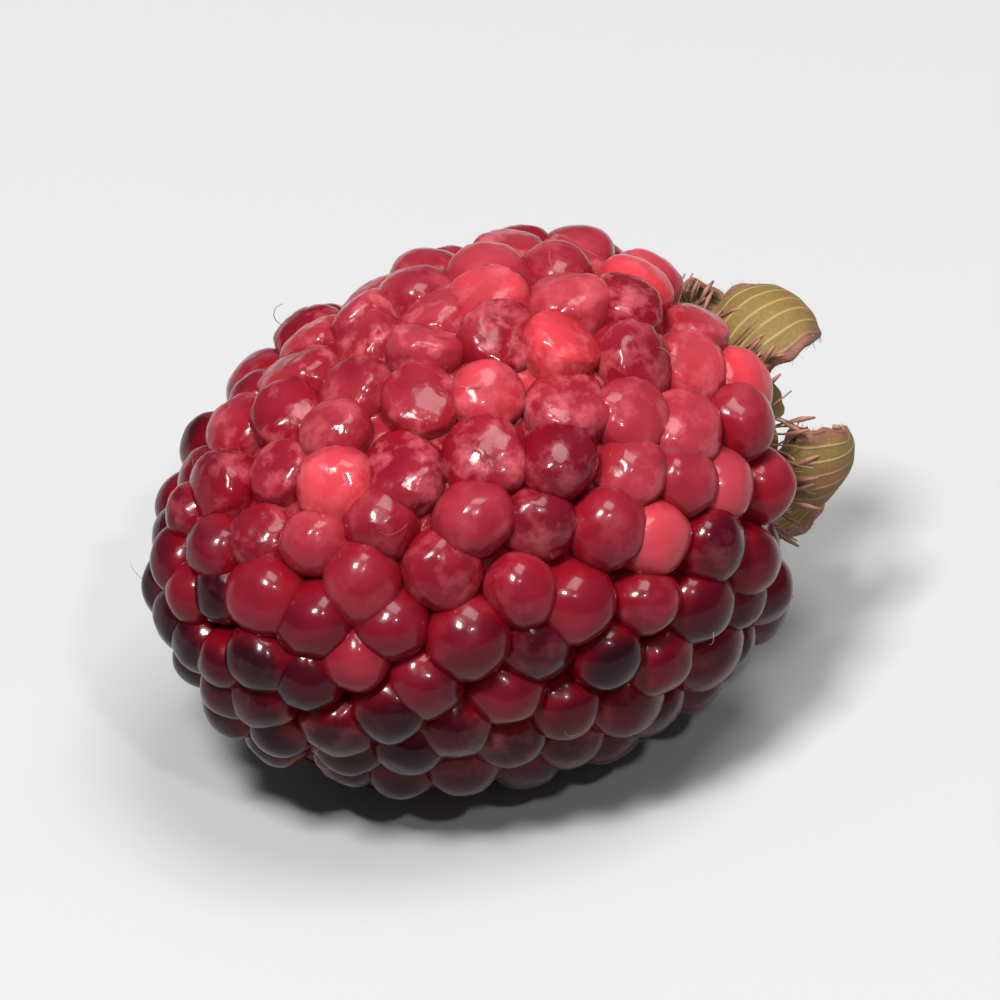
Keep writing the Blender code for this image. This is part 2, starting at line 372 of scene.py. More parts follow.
ripen(plan)
shares = [drupelet["ripe_and_painted_light"] for drupelet in plan]
print("ripeness from", round(min(shares), 2), "to", round(max(shares), 2))

# %% [markdown]
# ## One drupelet
# A drupelet is a ball squeezed by its neighbours. An icosphere has evenly spread faces, so it takes
# dents better than a sphere with poles. Its top is pressed down softly, its sides bulge unevenly,
# and a worn one gets creases.

# %% Shape one drupelet
BALL_FINENESS = 4
PRESS_START = 0.42        # height, in radii, above which a worn drupelet's top is squashed
PRESS_SOFTNESS = 0.12
SQUASH = 0.95
PRESS_TILT = 0.45
BULGE = 0.075
FINE_BULGE = 0.2
CREASE = 0.13
CREASE_WIDTH = 0.30
STRETCH = (0.93, 1.07)
NO_DRUPELET = -1


def mark_faces(bm, number):
    """Say which drupelet the faces are grown from; the union keeps that on every face."""
    layer = bm.faces.layers.int.new("grown_from")
    for face in bm.faces:
        face[layer] = number


def shape_drupelet(drupelet, number, chance):
    """A mesh of one drupelet in its place, with its own bulges, pressed top and creases."""
    bm = bmesh.new()
    bmesh.ops.create_icosphere(bm, subdivisions=BALL_FINENESS, radius=1.0)
    mark_faces(bm, number)
    seed = Vector([chance.uniform(-50, 50) for _ in range(3)])
    worn = drupelet["worn"]
    squash = SQUASH * worn
    lean = [chance.uniform(-PRESS_TILT, PRESS_TILT) for _ in range(2)]
    tilt = Vector((*lean, 1)).normalized()
    for vert in bm.verts:
        point = vert.co.copy()
        top = soft_step(-0.1, 0.6, point.z)
        bulge = BULGE * noise.noise(point * 1.2 + seed)
        bulge += FINE_BULGE * BULGE * noise.noise(point * 3.1 + seed)
        fold = abs(noise.noise(point * 2.1 - seed)) + 0.4 * abs(noise.noise(point * 4.6 - seed))
        crease = -CREASE * worn * max(0.0, CREASE_WIDTH - fold) / CREASE_WIDTH
        point *= 1 + bulge + crease * top
        height = point.dot(tilt)
        if height > PRESS_START:
            over = height - PRESS_START
            point -= tilt * squash * over * over / (over + PRESS_SOFTNESS)
        vert.co = point
    stretch = [chance.uniform(*STRETCH) for _ in range(2)]
    radius = drupelet["radius"]
    bmesh.ops.scale(bm, vec=(radius * stretch[0], radius * stretch[1], radius), verts=bm.verts)
    bmesh.ops.transform(bm, matrix=drupelet["place"], verts=bm.verts)
    return finished_mesh(bm, "drupelet")


# %% [markdown]
# ## Grow the fruit together
# The drupelets and the core are one living thing, so they become one closed skin: a Boolean union
# welds the balls to the core and to each other and leaves the deep grooves between them. The solver
# named MANIFOLD is quick on closed shapes like these. A block of table then presses flat the
# drupelets that the berry lies on.

# %% The core
CORE_DEPTH = 0.0017       # below the drupelets' tops; this is how deep the grooves can be


def core_mesh():
    """The soft core, cut flat where the calyx sits."""
    bm = bmesh.new()
    bmesh.ops.create_uvsphere(bm, u_segments=40, v_segments=28, radius=1.0)
    for vert in bm.verts:
        angle = math.acos(max(-1.0, min(1.0, -vert.co.z)))
        along, away = outline(min(max(angle, 1e-4), math.pi - 1e-4))
        side = Vector((vert.co.x, vert.co.y))
        if side.length > 1e-6:
            side.normalize()
        away *= 1 - CORE_DEPTH / (0.5 * FRUIT_DIAMETER)
        along *= 1 - CORE_DEPTH / (0.5 * FRUIT_LENGTH)
        vert.co = (side.x * away, side.y * away, along)
    cut = bmesh.ops.bisect_plane(bm, geom=bm.verts[:] + bm.edges[:] + bm.faces[:], dist=1e-6,
                                 plane_co=(0, 0, SEAT_AT), plane_no=(0, 0, 1), clear_outer=True)
    rim = [item for item in cut["geom_cut"] if isinstance(item, bmesh.types.BMEdge)]
    bmesh.ops.contextual_create(bm, geom=rim)
    bmesh.ops.recalc_face_normals(bm, faces=bm.faces)
    bmesh.ops.transform(bm, matrix=laid_down, verts=bm.verts)
    mark_faces(bm, NO_DRUPELET)
    return finished_mesh(bm, "core")


# %% Union and pressing
BLOCK_SIDE = 0.08


def table_block():
    """A block with its top where the surface is."""
    bm = bmesh.new()
    bmesh.ops.create_cube(bm, size=BLOCK_SIDE)
    bmesh.ops.translate(bm, verts=bm.verts, vec=(0, 0, surface_z - 0.5 * BLOCK_SIDE))
    mark_faces(bm, NO_DRUPELET)
    return add_object("table_block", finished_mesh(bm, "table_block"))


def add_boolean(item, name, operation):
    modifier = item.modifiers.new(name, "BOOLEAN")
    modifier.operation = operation
    modifier.solver = "MANIFOLD"
    return modifier


def grow_fruit(plan):
    """One closed skin from the core and a ball for each drupelet, pressed flat on the surface."""
    balls = bpy.data.collections.new("balls")
    bpy.context.scene.collection.children.link(balls)
    chance = random.Random(37)
    for number, drupelet in enumerate(plan):
        add_object("drupelet", shape_drupelet(drupelet, number, chance), balls)
    fruit = add_object("fruit", core_mesh())
    join = add_boolean(fruit, "grow", "UNION")
    join.operand_type = "COLLECTION"
    join.collection = balls
    block = table_block()
    add_boolean(fruit, "press", "DIFFERENCE").object = block

    graph = bpy.context.evaluated_depsgraph_get()
    skin_mesh = bpy.data.meshes.new_from_object(fruit.evaluated_get(graph), depsgraph=graph)
    for item in [fruit, block] + list(balls.objects):
        bpy.data.objects.remove(item)
    bpy.data.collections.remove(balls)
    return skin_mesh


fruit_mesh = grow_fruit(plan)
fruit_mesh.name = "drupelets"
print("the fruit's skin has", len(fruit_mesh.polygons), "faces")

# %% [markdown]
# ## Mark the skin with what it is
# The material has to know, at every place, which drupelet it is on and how high above the groove. Three
# attributes carry that: ripeness and wear, one value for each face, and crown, a value at each point
# that runs from 0 in the groove to 1 on top. The ripeness value also carries the painted light on top
# and the painted shade below, and crown places the painted groove shade. The union has kept, on every
# face, which drupelet it is grown from; a face of the core, or one pressed flat by the table, takes
# after the drupelet nearest to it. The edges between two drupelets are marked sharp, so smooth shading
# stops in the groove.

# %% Ripeness with its painted light and shade, and wear, on the faces
FAR_OFF = 1e9


def nearest_drupelets(points, plan):
    """For each point, the drupelet whose centre is nearest to it, measured in that one's radii."""
    centres = np.array([drupelet["centre"] for drupelet in plan])
    radii = np.array([drupelet["radius"] for drupelet in plan])
    best = np.full(len(points), FAR_OFF)
    owner = np.zeros(len(points), dtype=int)
    for number, (centre, radius) in enumerate(zip(centres, radii)):
        reach = np.linalg.norm(points - centre, axis=1) / radius
        nearer = reach < best
        best[nearer] = reach[nearer]
        owner[nearer] = number
    return owner


def mark_ripeness(mesh, plan):
    """Store the ripeness and wear of each face, and return which drupelet each face belongs to."""
    middles = np.empty(3 * len(mesh.polygons))
    mesh.polygons.foreach_get("center", middles)
    grown_from = np.empty(len(mesh.polygons), dtype=np.int32)
    mesh.attributes["grown_from"].data.foreach_get("value", grown_from)
    nearest = nearest_drupelets(middles.reshape(-1, 3), plan)
    face_owner = np.where(grown_from == NO_DRUPELET, nearest, grown_from)
    for name in ("ripe_and_painted_light", "worn"):
        values = np.array([drupelet[name] for drupelet in plan])[face_owner]
        layer = mesh.attributes.new(name, "FLOAT", "FACE")
        layer.data.foreach_set("value", values.astype(np.float32))
    return face_owner


face_owner = mark_ripeness(fruit_mesh, plan)
print(len(face_owner), "faces marked")


# %% Height above the groove
def mark_crowns(mesh, plan):
    """Store how far each point is from its drupelet's centre, outwards, in radii."""
    spots = np.empty(3 * len(mesh.vertices))
    mesh.vertices.foreach_get("co", spots)
    spots = spots.reshape(-1, 3)
    owner = nearest_drupelets(spots, plan)
    centres = np.array([drupelet["centre"] for drupelet in plan])[owner]
    outs = np.array([drupelet["out"] for drupelet in plan])[owner]
    radii = np.array([drupelet["radius"] for drupelet in plan])[owner]
    height = np.einsum("ij,ij->i", spots - centres, outs) / radii
    layer = mesh.attributes.new("crown", "FLOAT", "POINT")
    layer.data.foreach_set("value", np.clip(height, 0, 1).astype(np.float32))
    return height


heights = mark_crowns(fruit_mesh, plan)
print("the highest crown stands", round(float(heights.max()), 2), "radii out")


# %% Sharp edges in the grooves
def sharpen_grooves(mesh, face_owner):
    """Smooth shading everywhere but across the edges between two drupelets."""
    mesh.polygons.foreach_set("use_smooth", np.ones(len(mesh.polygons), dtype=bool))
    bm = bmesh.new()
    bm.from_mesh(mesh)
    grooves = 0
    for edge in bm.edges:
        faces = edge.link_faces
        if len(faces) == 2 and face_owner[faces[0].index] != face_owner[faces[1].index]:
            edge.smooth = False
            grooves += 1
    bm.to_mesh(mesh)
    bm.free()
    return grooves


print("groove edges:", sharpen_grooves(fruit_mesh, face_owner))

# %% [markdown]
# ## Node helpers
# Every finish below is a small network of shader nodes. These helpers add a node, join sockets and
# set values, so that each material reads as a short recipe. What more than one finish needs, such
# as fine felt or dried patches, is a node group of its own.

# %% Helpers for materials
def new_material(name):
    material = bpy.data.materials.new(name)
    material.use_nodes = True
    tree = material.node_tree
    return material, tree, tree.nodes["Principled BSDF"]


def add_node(tree, kind, **settings):
    """A node with its sockets, or else its properties, set by name."""
    node = tree.nodes.new(kind)
    for key, value in settings.items():
        if key in node.inputs:
            node.inputs[key].default_value = value
        else:
            setattr(node, key, value)
    return node


def math_node(tree, operation, first, second=0.0):
    node = tree.nodes.new("ShaderNodeMath")
    node.operation = operation
    for socket, value in zip(node.inputs, (first, second)):
        if isinstance(value, bpy.types.NodeSocket):
            tree.links.new(value, socket)
        else:
            socket.default_value = value
    return node.outputs[0]


def noise_node(tree, place, **settings):
    node = add_node(tree, "ShaderNodeTexNoise", **settings)
    tree.links.new(place, node.inputs["Vector"])
    return node.outputs["Fac"]


BLACK = (0, 0, 0)
WHITE = (1, 1, 1)


def ramp_node(tree, source, stops, smooth=False):
    """A colour ramp from (position, colour) stops, read at source."""
    node = tree.nodes.new("ShaderNodeValToRGB")
    node.color_ramp.interpolation = "EASE" if smooth else "LINEAR"
    points = node.color_ramp.elements
    while len(points) < len(stops):
        points.new(0.5)
    for point, (position, color) in zip(points, stops):
        point.position = position
        point.color = (*color, 1.0)
    tree.links.new(source, node.inputs[0])
    return node.outputs[0]


def mix_color(tree, share, first, second):
    """The first colour where share is 0 and the second where it is 1."""
    node = tree.nodes.new("ShaderNodeMix")
    node.data_type = "RGBA"
    for socket, value in ((node.inputs[0], share), (node.inputs[6], first), (node.inputs[7], second)):
        if isinstance(value, bpy.types.NodeSocket):
            tree.links.new(value, socket)
        elif isinstance(value, tuple):
            socket.default_value = (*value, 1.0)
        else:
            socket.default_value = value
    return node.outputs[2]


def attribute(tree, name):
    node = tree.nodes.new("ShaderNodeAttribute")
    node.attribute_name = name
    return node.outputs["Fac"]


def object_place(tree):
    return tree.nodes.new("ShaderNodeTexCoord").outputs["Object"]


def add_bump(tree, shader, height, strength, distance):
    bump = add_node(tree, "ShaderNodeBump", Strength=strength, Distance=distance)
    tree.links.new(height, bump.inputs["Height"])
    tree.links.new(bump.outputs["Normal"], shader.inputs["Normal"])


def set_inputs(shader, values):
    for label, value in values.items():
        shader.inputs[label].default_value = value


# %% [markdown]
# ## The fruit's skin
# A drupelet's skin is a thin, tight, glossy film over dark red juice. Light goes in, turns red and comes
# out again beside where it went in, which is what subsurface scattering does. The colour runs with
# ripeness from bright red to nearly black, and the same value carries painted light on top and painted
# shade below. The grooves get a deeper red painted in, which is painted shade and painted scattered
# light, a faint pink haze dulls the worn skins, and a clear coat gives the small sharp glints.

# %% Skin material
SKIN_RIPENING = [
    (0.00, (0.400, 0.030, 0.040)),
    (0.20, (0.255, 0.026, 0.038)),
    (0.48, (0.130, 0.005, 0.012)),
    (0.74, (0.045, 0.001, 0.005)),
    (1.00, (0.011, 0.001, 0.003)),
]
# Painted shade and scattered light in the grooves: a deep red mixed into the colour where the crown is
# low.
GROOVE_PAINTED_SHADE_RED = (0.160, 0.001, 0.004)
HAZE_PINK = (0.520, 0.120, 0.145)
RIPENESS_DRIFT = 0.50     # how much the ripeness drifts within one drupelet
HAZE_SHARE = 0.55
GLOSS = 0.16              # the least roughness, to which the fine noise adds its part
GLOSS_LOST = 0.14


def make_fruit_skin():
    material, tree, shader = new_material("drupelet_skin")
    place = object_place(tree)
    fine = noise_node(tree, place, Scale=900.0, Detail=3.0, Roughness=0.6)
    broad = noise_node(tree, place, Scale=330.0, Detail=2.0)
    crown = attribute(tree, "crown")
    worn = attribute(tree, "worn")
    drift = math_node(tree, "SUBTRACT", broad, 0.5)
    drift = math_node(tree, "MULTIPLY", drift, RIPENESS_DRIFT)
    # This value holds the painted light on top and the painted shade below as well as the ripeness.
    ripeness_and_painted_light = math_node(tree, "ADD", attribute(tree, "ripe_and_painted_light"), drift)
    juice = ramp_node(tree, ripeness_and_painted_light, SKIN_RIPENING)
    # Painted groove shade: half the deep red is mixed in where the crown is low.
    groove = ramp_node(tree, crown, [(0.35, WHITE), (0.8, BLACK)], smooth=True)
    color = mix_color(tree, groove, juice, mix_color(tree, 0.5, juice, GROOVE_PAINTED_SHADE_RED))
    haze = ramp_node(tree, fine, [(0.48, BLACK), (0.70, WHITE)])
    haze = math_node(tree, "MULTIPLY", haze, worn)
    color = mix_color(tree, math_node(tree, "MULTIPLY", haze, HAZE_SHARE), color, HAZE_PINK)
    tree.links.new(color, shader.inputs["Base Color"])
    rough = math_node(tree, "MULTIPLY", fine, GLOSS_LOST)
    tree.links.new(math_node(tree, "ADD", rough, GLOSS), shader.inputs["Roughness"])

    wrinkles = noise_node(tree, place, Scale=1100.0, Detail=2.0, Roughness=0.5, Distortion=0.6)
    grain = noise_node(tree, place, Scale=4200.0, Detail=2.0)
    creased = math_node(tree, "MULTIPLY", wrinkles, math_node(tree, "ADD", worn, 0.10))
    height = math_node(tree, "ADD", creased, math_node(tree, "MULTIPLY", grain, 0.05))
    add_bump(tree, shader, height, 0.40, 0.00026)
    set_inputs(shader, {
        "Subsurface Weight": 0.35,
        "Subsurface Radius": (1.0, 0.08, 0.06),
        "Subsurface Scale": 0.0008,
        "Coat Weight": 0.28,
        "Coat Roughness": 0.05,
        "Coat IOR": 1.34,
        "IOR": 1.32,
        "Specular IOR Level": 0.2,
    })
    return material


fruit_mesh.materials.clear()
fruit_mesh.materials.append(make_fruit_skin())
drupelets = add_object("drupelets", fruit_mesh)
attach(drupelets, "root")
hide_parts("fruit_body")
print("skin box", [round(1000 * side, 1) for side in drupelets.dimensions], "mm")

# %% [markdown]
# ## Finishes of the calyx
# The green parts are dry beside the fruit: soft olive tissue with pale veins, a pinkish brown edge
# that has begun to wither, and short pale felt. Two groups hold what they share. Felt gives the
# fine grain as a height and a mask, and withered gives a mask of dry patches.

# %% A group and its sockets
def new_group(name, inputs, outputs):
    """A node group with named sockets; inputs are (name, kind, value), outputs (name, kind)."""
    group = bpy.data.node_groups.new(name, "ShaderNodeTree")
    for label, kind, value in inputs:
        socket = group.interface.new_socket(label, in_out="INPUT", socket_type=kind)
        if value is not None:
            socket.default_value = value
    for label, kind in outputs:
        group.interface.new_socket(label, in_out="OUTPUT", socket_type=kind)
    return group, group.nodes.new("NodeGroupInput"), group.nodes.new("NodeGroupOutput")


# %% Felt and dry patches
def make_felt():
    """Fine felt: a height of short matted hairs, and a mask of where the felt is thick."""
    group, given, gives = new_group(
        "felt",
        [("Place", "NodeSocketVector", None), ("Fineness", "NodeSocketFloat", 5000.0)],
        [("Height", "NodeSocketFloat"), ("Mask", "NodeSocketFloat")],
    )
    hairs = add_node(group, "ShaderNodeTexNoise", Detail=4.0, Roughness=0.75, Distortion=1.2)
    group.links.new(given.outputs["Place"], hairs.inputs["Vector"])
    group.links.new(given.outputs["Fineness"], hairs.inputs["Scale"])
    mask = ramp_node(group, hairs.outputs["Fac"], [(0.46, BLACK), (0.66, WHITE)])
    group.links.new(hairs.outputs["Fac"], gives.inputs["Height"])
    group.links.new(mask, gives.inputs["Mask"])
    return group


def make_withered():
    """Dry patches: a mask from broad noise with torn edges."""
    group, given, gives = new_group(
        "withered",
        [("Place", "NodeSocketVector", None), ("Spread", "NodeSocketFloat", 0.5)],
        [("Mask", "NodeSocketFloat")],
    )
    patches = noise_node(group, given.outputs["Place"], Scale=420.0, Detail=5.0, Roughness=0.65)
    least = math_node(group, "SUBTRACT", 1.0, given.outputs["Spread"])
    edge = math_node(group, "SUBTRACT", patches, least)
    sharp = math_node(group, "MULTIPLY", edge, 7.0)
    mask = add_node(group, "ShaderNodeClamp")
    group.links.new(sharp, mask.inputs["Value"])
    group.links.new(mask.outputs[0], gives.inputs["Mask"])
    return group


felt_group = make_felt()
withered_group = make_withered()


def use_group(tree, group, place, **values):
    node = tree.nodes.new("ShaderNodeGroup")
    node.node_tree = group
    tree.links.new(place, node.inputs["Place"])
    for label, value in values.items():
        node.inputs[label].default_value = value
    return node


FELT_HEIGHT = 0.00012


# %% [markdown]
# ## Blade finishes
# A sepal has two faces, both olive with pale ribs that run from foot to tip and a rim that has
# dried pinkish brown. The outer one is a little lighter. The blade's UV map carries the pattern:
# across the blade in U and from foot to tip in V.

# %% Sepal materials
def blade_coordinates(tree):
    """Place across the blade, -1 to 1, and share of its length, from the blade's own UV map."""
    layer = add_node(tree, "ShaderNodeUVMap", uv_map="blade")
    parts = tree.nodes.new("ShaderNodeSeparateXYZ")
    tree.links.new(layer.outputs[0], parts.inputs[0])
    across = math_node(tree, "SUBTRACT", math_node(tree, "MULTIPLY", parts.outputs[0], 2.0), 1.0)
    return across, parts.outputs[1]


DRIED = (0.300, 0.190, 0.095)
WITHERED_RIM = (0.165, 0.060, 0.040)
BLADE_FELT = (0.300, 0.225, 0.120)
BLADE_RIBS = 11.0         # turns the place across the blade into an angle, in radians


def make_blade(name, tissue, flush, vein, vein_share, wither_spread):
    """The finish of one face of the sepals; vein_share is how strongly the veins show."""
    material, tree, shader = new_material(name)
    place = object_place(tree)
    across, share = blade_coordinates(tree)
    felt = use_group(tree, felt_group, place, Fineness=5200.0)
    dry = use_group(tree, withered_group, place, Spread=wither_spread)

    sway = noise_node(tree, place, Scale=300.0, Detail=2.0)
    bent = math_node(tree, "ADD", across, math_node(tree, "MULTIPLY", sway, 0.14))
    ribs = math_node(tree, "SINE", math_node(tree, "MULTIPLY", bent, BLADE_RIBS))
    ribs = math_node(tree, "ABSOLUTE", ribs)
    rib_mask = ramp_node(tree, ribs, [(0.0, WHITE), (0.42, BLACK)])
    edge = math_node(tree, "ABSOLUTE", across)
    edge = math_node(tree, "ADD", edge, math_node(tree, "MULTIPLY", sway, 0.2))
    edge_mask = ramp_node(tree, edge, [(0.72, BLACK), (1.02, WHITE)], smooth=True)
    tip_mask = ramp_node(tree, share, [(0.78, BLACK), (0.98, WHITE)], smooth=True)

    color = mix_color(tree, dry.outputs["Mask"], tissue, flush)
    color = mix_color(tree, math_node(tree, "MULTIPLY", rib_mask, vein_share), color, vein)
    color = mix_color(tree, edge_mask, color, WITHERED_RIM)
    color = mix_color(tree, tip_mask, color, DRIED)
    color = mix_color(tree, math_node(tree, "MULTIPLY", felt.outputs["Mask"], 0.16), color, BLADE_FELT)
    tree.links.new(color, shader.inputs["Base Color"])
    height = math_node(tree, "ADD", math_node(tree, "MULTIPLY", rib_mask, 0.8), felt.outputs["Height"])
    add_bump(tree, shader, height, 0.6, 0.00010)
    set_inputs(shader, {
        "Roughness": 0.62,
        "Specular IOR Level": 0.35,
        "Subsurface Weight": 0.15,
        "Subsurface Radius": (0.7, 0.8, 0.2),
        "Subsurface Scale": 0.0004,
    })
    return material


blade_inside = make_blade(
    "sepal_inside", tissue=(0.126, 0.079, 0.013), flush=(0.160, 0.066, 0.020),
    vein=(0.350, 0.245, 0.110), vein_share=0.68, wither_spread=0.50,
)
blade_outside = make_blade(
    "sepal_outside", tissue=(0.136, 0.084, 0.014), flush=(0.175, 0.070, 0.022),
    vein=(0.370, 0.262, 0.120), vein_share=0.62, wither_spread=0.48,
)
print("blade finishes:", blade_inside.name, "and", blade_outside.name)

# %% [markdown]
# ## The sepals
# Five sepals stand round the cup. Each is one leafy blade: it leans out from the rim, cups across
# its width and curls back beside the stalk. A grid is the natural start, because its two directions
# are the blade's length and width. The midrib bends at an even rate, so it is an arc, and the
# outline is a broad foot, a belly and a drawn-out point. Solidify gives the blade its thickness and
# puts the second finish on its other side.

# %% Blade shape
RIM_RADIUS = 0.0040       # of the cup that the blades stand on
RIM_AT = 0.0118           # from the fruit's middle
BLADE_START = 0.00025     # behind the rim
EDGE_WAVE = 0.00016       # how far the blade's edge waves up and down
RIB_DEPTH = 0.00004
NARROWEST = 0.07          # the tip's width, as a share of the blade's

# Direction round the axis, length, width, first and last lean of the midrib and cupping, in
# degrees; frill is how far the edge waves in and out, as a share of the half width.
SEPALS = {
    "sepal_1": dict(around=192, length=0.0072, width=0.0048, lean=(20, 215), cup=38, frill=0.10),
    "sepal_2": dict(around=272, length=0.0060, width=0.0044, lean=(22, 195), cup=44, frill=0.12),
    "sepal_3": dict(around=340, length=0.0054, width=0.0042, lean=(26, 150), cup=36, frill=0.10),
    "sepal_4": dict(around=48, length=0.0058, width=0.0044, lean=(18, 150), cup=32, frill=0.14),
    "sepal_5": dict(around=114, length=0.0050, width=0.0042, lean=(14, 165), cup=36, frill=0.12),
}


def sepal_midrib(sepal, share):
    """Distance from the axis, distance along it and lean of the midrib at a share of its length."""
    first, last = (math.radians(lean) for lean in sepal["lean"])
    turning = last - first
    lean = first + turning * share
    away = RIM_RADIUS + GAP + sepal["length"] * (math.sin(lean) - math.sin(first)) / turning
    along = RIM_AT + BLADE_START + sepal["length"] * (math.cos(first) - math.cos(lean)) / turning
    return away, along, lean


def sepal_half_width(sepal, share):
    """A broad foot, a belly and a drawn-out point."""
    belly = math.sin(math.pi * (0.32 + 0.68 * share) ** 0.85) ** 0.9
    return 0.5 * sepal["width"] * max(belly, NARROWEST)


def blade_seed(number):
    return 7.3 * (number + 1)


def blade_point(sepal, side, share, seed):
    """A place on the blade: side is -1 to 1 across it, share 0 to 1 along it."""
    away, along, lean = sepal_midrib(sepal, share)
    half = sepal_half_width(sepal, share)
    wave = noise.noise(Vector((share * 5.0, side * 0.8, seed)))
    half *= 1 + sepal["frill"] * wave * abs(side)
    cupping = math.radians(sepal["cup"]) * (1 + 0.35 * noise.noise(Vector((share * 2.0, seed, 3.0))))
    bend = side * cupping
    across = half * math.sin(bend) / cupping
    rise = half * (1 - math.cos(bend)) / cupping
    rise += EDGE_WAVE * abs(side) ** 3 * math.sin(share * 19 + seed + 2.2 * side)
    rise -= RIB_DEPTH * abs(math.sin(side * 5.5))
    away -= rise * math.sin(lean)
    along += rise * math.cos(lean)
    return Matrix.Rotation(math.radians(sepal["around"]), 3, "Z") @ Vector((away, across, along))


# %% Make the sepals
BLADE_THICKNESS = 0.00026
BLADE_ROWS = 26
BLADE_COLUMNS = 16


def add_smoothing(item, levels):
    smooth = item.modifiers.new("smooth", "SUBSURF")
    smooth.levels = levels
    smooth.render_levels = levels


def make_sepal(name, sepal, number):
    seed = blade_seed(number)
    bm = bmesh.new()
    bmesh.ops.create_grid(bm, x_segments=BLADE_COLUMNS, y_segments=BLADE_ROWS, size=1.0)
    layer = bm.loops.layers.uv.new("blade")
    for face in bm.faces:
        for loop in face.loops:
            loop[layer].uv = (0.5 + 0.5 * loop.vert.co.x, 0.5 + 0.5 * loop.vert.co.y)
    for vert in bm.verts:
        vert.co = blade_point(sepal, vert.co.x, 0.5 + 0.5 * vert.co.y, seed)
    bmesh.ops.transform(bm, matrix=laid_down, verts=bm.verts)
    middle = bm.faces[:][len(bm.faces) // 2]
    if middle.normal.dot(Vector((1, 0, 0))) > 0:
        bmesh.ops.reverse_faces(bm, faces=bm.faces)
    mesh = finished_mesh(bm, name + "_blade")
    mesh.shade_smooth()
    mesh.materials.append(blade_inside)
    mesh.materials.append(blade_outside)
    blade = add_object(name + "_blade", mesh)
    wall = blade.modifiers.new("thickness", "SOLIDIFY")
    wall.thickness = BLADE_THICKNESS
    wall.offset = 0.0
    wall.material_offset = 1
    add_smoothing(blade, 1)
    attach(blade, "root")
    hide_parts(name)


for number, (name, sepal) in enumerate(SEPALS.items()):
    make_sepal(name, sepal, number)
print(len(SEPALS), "sepals")

# %% [markdown]
# ## The calyx cup
# The cup is the green disc that all the rest grows on. It is round, so its profile is spun about
# the axis. The rim is as wide as the solid's, with a soft lip that reaches out towards the sepals'
# feet and ten shallow ribs.

# %% Turned bodies
def spin_profile(profile, segments):
    """A closed body of revolution from (away, along) points, tip end first, still upright."""
    bm = bmesh.new()
    points = [bm.verts.new((away, 0, along)) for away, along in profile]
    edges = [bm.edges.new(pair) for pair in zip(points, points[1:])]
    bmesh.ops.spin(bm, geom=points + edges, cent=(0, 0, 0), axis=(0, 0, 1), dvec=(0, 0, 0),
                   angle=math.tau, steps=segments, use_merge=True, use_duplicate=False)
    bmesh.ops.remove_doubles(bm, verts=bm.verts, dist=1e-6)
    bmesh.ops.recalc_face_normals(bm, faces=bm.faces)
    return bm


def finish_piece(name, bm, material, node=None, levels=0):
    """Lay the mesh down along the berry, give it its finish and tie it to the frame."""
    bmesh.ops.transform(bm, matrix=laid_down, verts=bm.verts)
    mesh = finished_mesh(bm, name)
    mesh.shade_smooth()
    mesh.materials.append(material)
    piece = add_object(name, mesh)
    if levels:
        add_smoothing(piece, levels)
    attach(piece, "root")
    if node:
        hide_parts(node)
    print(name, len(mesh.polygons), "faces")


# %% Cup
CUP_THICKNESS = 0.0014
CUP_RIBS = 10
CUP_RIB_HEIGHT = 0.00020
NECK_RADIUS = 0.0026
STALK_RADIUS = 0.0011
CUP_FELT = (0.320, 0.260, 0.150)


def make_cup_finish():
    material, tree, shader = new_material("cup_felt")
    place = object_place(tree)
    felt = use_group(tree, felt_group, place, Fineness=4200.0)
    dry = use_group(tree, withered_group, place, Spread=0.50)
    color = mix_color(tree, dry.outputs["Mask"], (0.160, 0.130, 0.026), (0.180, 0.085, 0.045))
    color = mix_color(tree, math_node(tree, "MULTIPLY", felt.outputs["Mask"], 0.30), color, CUP_FELT)
    tree.links.new(color, shader.inputs["Base Color"])
    set_inputs(shader, {"Roughness": 0.75, "Specular IOR Level": 0.25})
    add_bump(tree, shader, felt.outputs["Height"], 0.7, FELT_HEIGHT)
    return material


def make_cup():
    back = RIM_AT + CUP_THICKNESS
    bm = spin_profile([
        (0.0, SEAT_AT + GAP),
        (NECK_RADIUS, SEAT_AT + GAP),
        (NECK_RADIUS, RIM_AT - 0.25 * CUP_THICKNESS),
        (RIM_RADIUS, RIM_AT),
        (RIM_RADIUS + GAP, RIM_AT + BLADE_START),
        (RIM_RADIUS + 0.0001, RIM_AT + 0.0005),
        (0.75 * RIM_RADIUS, back - 0.0003),
        (1.15 * STALK_RADIUS, back - 0.00005),
        (STALK_RADIUS, back),
        (0.0, back),
    ], 40)
    for vert in bm.verts:
        turn = math.atan2(vert.co.y, vert.co.x)
        reach = math.hypot(vert.co.x, vert.co.y) / RIM_RADIUS
        if vert.co.z > RIM_AT:
            vert.co.z += CUP_RIB_HEIGHT * math.cos(CUP_RIBS * turn) * reach
    finish_piece("cup", bm, make_cup_finish(), "calyx_cup", levels=2)


make_cup()

# %% [markdown]
# ## The stalk end
# The berry was pulled off with a short end of its stalk. It is a little thicker at its foot, ribbed
# along its length, and the torn end is uneven and browner than the rest.

# %% Stalk
STALK_LENGTH = 0.0015
STALK_RIBS = 5
TORN_FROM = 0.80          # share of the stalk's length at which the torn end begins
TORN_SHARPNESS = 1800.0
TORN_HEIGHT = 0.00022


